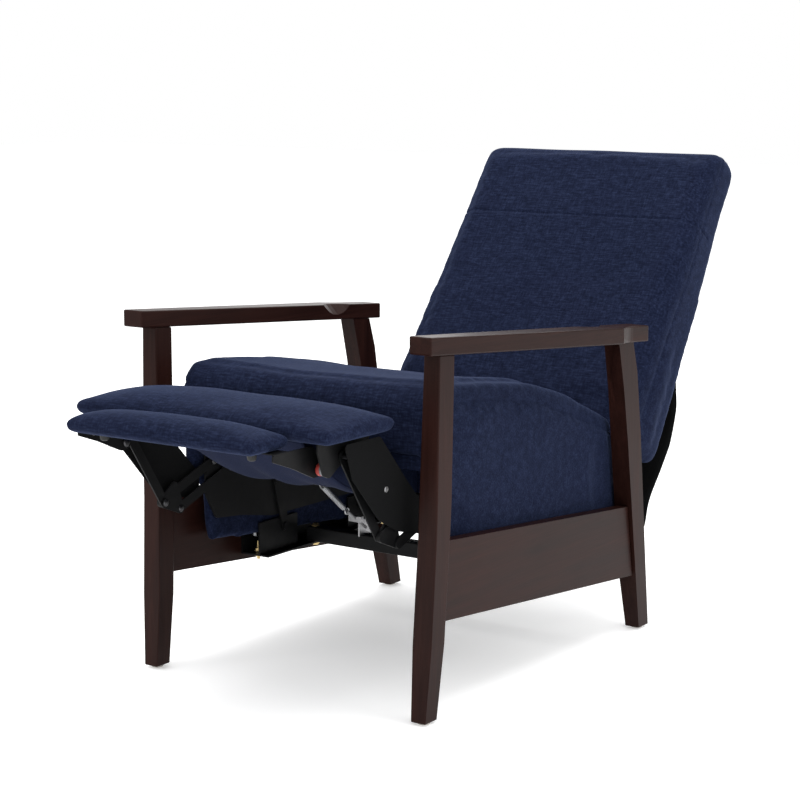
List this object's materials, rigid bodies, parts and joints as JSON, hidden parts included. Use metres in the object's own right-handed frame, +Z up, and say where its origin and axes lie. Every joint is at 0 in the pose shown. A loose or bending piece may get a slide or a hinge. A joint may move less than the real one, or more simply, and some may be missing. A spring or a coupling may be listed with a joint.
{
  "type": "recliner_armchair",
  "caption": "Push-back recliner armchair with sloping wood arms and tapered legs, navy chenille seat, back and two-part footrest, shown fully reclined on its black steel linkage",
  "frame": {"origin": "centre of the overall bounding box on the floor, fully reclined", "axes": "+Z up, the sitter faces -Y, the sitter's left is +X, the hinges all run along X"},
  "size_m": [0.6776, 1.4286, 0.8635],
  "materials": {
    "dark_wood": "satin",
    "navy_chenille": "matte",
    "blue_cloth": "matte",
    "black_cloth": "matte",
    "black_steel": "satin",
    "brass_plate": "satin",
    "zinc_steel": "satin",
    "plywood": "matte",
    "glide_plastic": "matte"
  },
  "bodies": {
    "root": {"armrest_left": "dark_wood", "armrest_right": "dark_wood", "front_leg_left": "dark_wood", "front_leg_right": "dark_wood", "rear_leg_left": "dark_wood", "rear_leg_right": "dark_wood", "side_panel_left": "dark_wood", "side_panel_right": "dark_wood", "glide_front_left": "glide_plastic", "glide_front_right": "glide_plastic", "glide_rear_left": "glide_plastic", "glide_rear_right": "glide_plastic", "base_rail_left": "black_steel", "base_rail_right": "black_steel", "rail_bolt_left": "brass_plate", "rail_bolt_right": "brass_plate", "front_cross_tube": "black_steel", "rear_cross_tube": "black_steel", "spring_adjuster_left": "zinc_steel", "spring_adjuster_right": "zinc_steel"},
    "swing_front_links": {"swing_front_left": "black_steel", "swing_front_right": "black_steel"},
    "seat": {"seat_cushion": "navy_chenille", "seat_frame": "plywood", "seat_spring": "black_steel", "seat_rear_rail": "plywood", "seat_cross_bar": "black_steel", "filler_cloth": "blue_cloth", "seat_wall_left": "navy_chenille", "seat_wall_right": "navy_chenille", "mounting_plate_left": "black_steel", "mounting_plate_right": "black_steel", "tension_spring_left": "zinc_steel", "tension_spring_right": "zinc_steel"},
    "swing_rear_links": {"swing_rear_left": "black_steel", "swing_rear_right": "black_steel"},
    "back": {"back_cushion": "navy_chenille", "rear_cloth": "black_cloth", "back_bracket_left": "black_steel", "back_bracket_right": "black_steel"},
    "lower_links": {"lower_link_left": "black_steel", "lower_link_right": "black_steel"},
    "idle_links": {"idle_link_left": "black_steel", "idle_link_right": "black_steel"},
    "knee_plates": {"knee_plate_left": "black_steel", "knee_plate_right": "black_steel"},
    "lift_links": {"lift_link_left": "black_steel", "lift_link_right": "black_steel", "side_shield_left": "black_cloth", "side_shield_right": "black_cloth"},
    "footrest": {"footrest_cushion": "navy_chenille", "footrest_board": "plywood", "footrest_bracket_left": "black_steel", "footrest_bracket_right": "black_steel"},
    "flipper": {"flipper_cushion": "navy_chenille", "flipper_board": "plywood", "flipper_arm_left": "black_steel", "flipper_arm_right": "black_steel"}
  },
  "joints": [
    {"name": "swing_front_hinge", "type": "hinge", "parent": "root", "child": "swing_front_links", "pos_m": [0, -0.09435, 0.205], "axis": [1, 0, 0], "range_deg": [-30.01, 0], "deforming": ["tension_spring_left", "tension_spring_right"]},
    {"name": "seat_swing_hinge", "type": "hinge", "parent": "swing_front_links", "child": "seat", "pos_m": [0, -0.11895, 0.2968], "axis": [1, 0, 0], "range_deg": [0, 30.01]},
    {"name": "swing_rear_hinge", "type": "hinge", "parent": "root", "child": "swing_rear_links", "pos_m": [0, 0.14565, 0.205], "axis": [1, 0, 0], "range_deg": [-30.01, 0]},
    {"name": "back_recline", "type": "hinge", "parent": "seat", "child": "back", "pos_m": [0, 0.30565, 0.355], "axis": [1, 0, 0], "range_deg": [0, 18], "deforming": ["rear_cloth"]},
    {"name": "footrest_fold", "type": "hinge", "parent": "seat", "child": "lower_links", "pos_m": [0, -0.29935, 0.36], "axis": [1, 0, 0], "range_deg": [0, 79.5], "deforming": ["filler_cloth"]},
    {"name": "idle_link_hinge", "type": "hinge", "parent": "seat", "child": "idle_links", "pos_m": [0, -0.25295, 0.3413], "axis": [1, 0, 0], "range_deg": [0, 79.51]},
    {"name": "knee_plate_hinge", "type": "hinge", "parent": "lower_links", "child": "knee_plates", "pos_m": [0, -0.43935, 0.31], "axis": [1, 0, 0], "range_deg": [-79.51, 0]},
    {"name": "lift_link_hinge", "type": "hinge", "parent": "lower_links", "child": "lift_links", "pos_m": [0, -0.43935, 0.31], "axis": [1, 0, 0], "range_deg": [-83.8, 0]},
    {"name": "footrest_hinge", "type": "hinge", "parent": "lift_links", "child": "footrest", "pos_m": [0, -0.53435, 0.455], "axis": [1, 0, 0], "range_deg": [0, 94.31]},
    {"name": "flipper_hinge", "type": "hinge", "parent": "footrest", "child": "flipper", "pos_m": [0, -0.56435, 0.437], "axis": [1, 0, 0], "range_deg": [0, 105.01]}
  ],
  "couplings": [
    {"joint": "swing_front_hinge", "follows": "back_recline", "ratio": -1.6667},
    {"joint": "seat_swing_hinge", "follows": "back_recline", "ratio": 1.6667},
    {"joint": "swing_rear_hinge", "follows": "back_recline", "ratio": -1.6667},
    {"joint": "idle_link_hinge", "follows": "footrest_fold", "ratio": 1},
    {"joint": "knee_plate_hinge", "follows": "footrest_fold", "ratio": -1},
    {"joint": "lift_link_hinge", "follows": "footrest_fold", "ratio": -1.054},
    {"joint": "footrest_hinge", "follows": "footrest_fold", "ratio": 1.1862},
    {"joint": "flipper_hinge", "follows": "footrest_fold", "ratio": 1.3208}
  ]
}
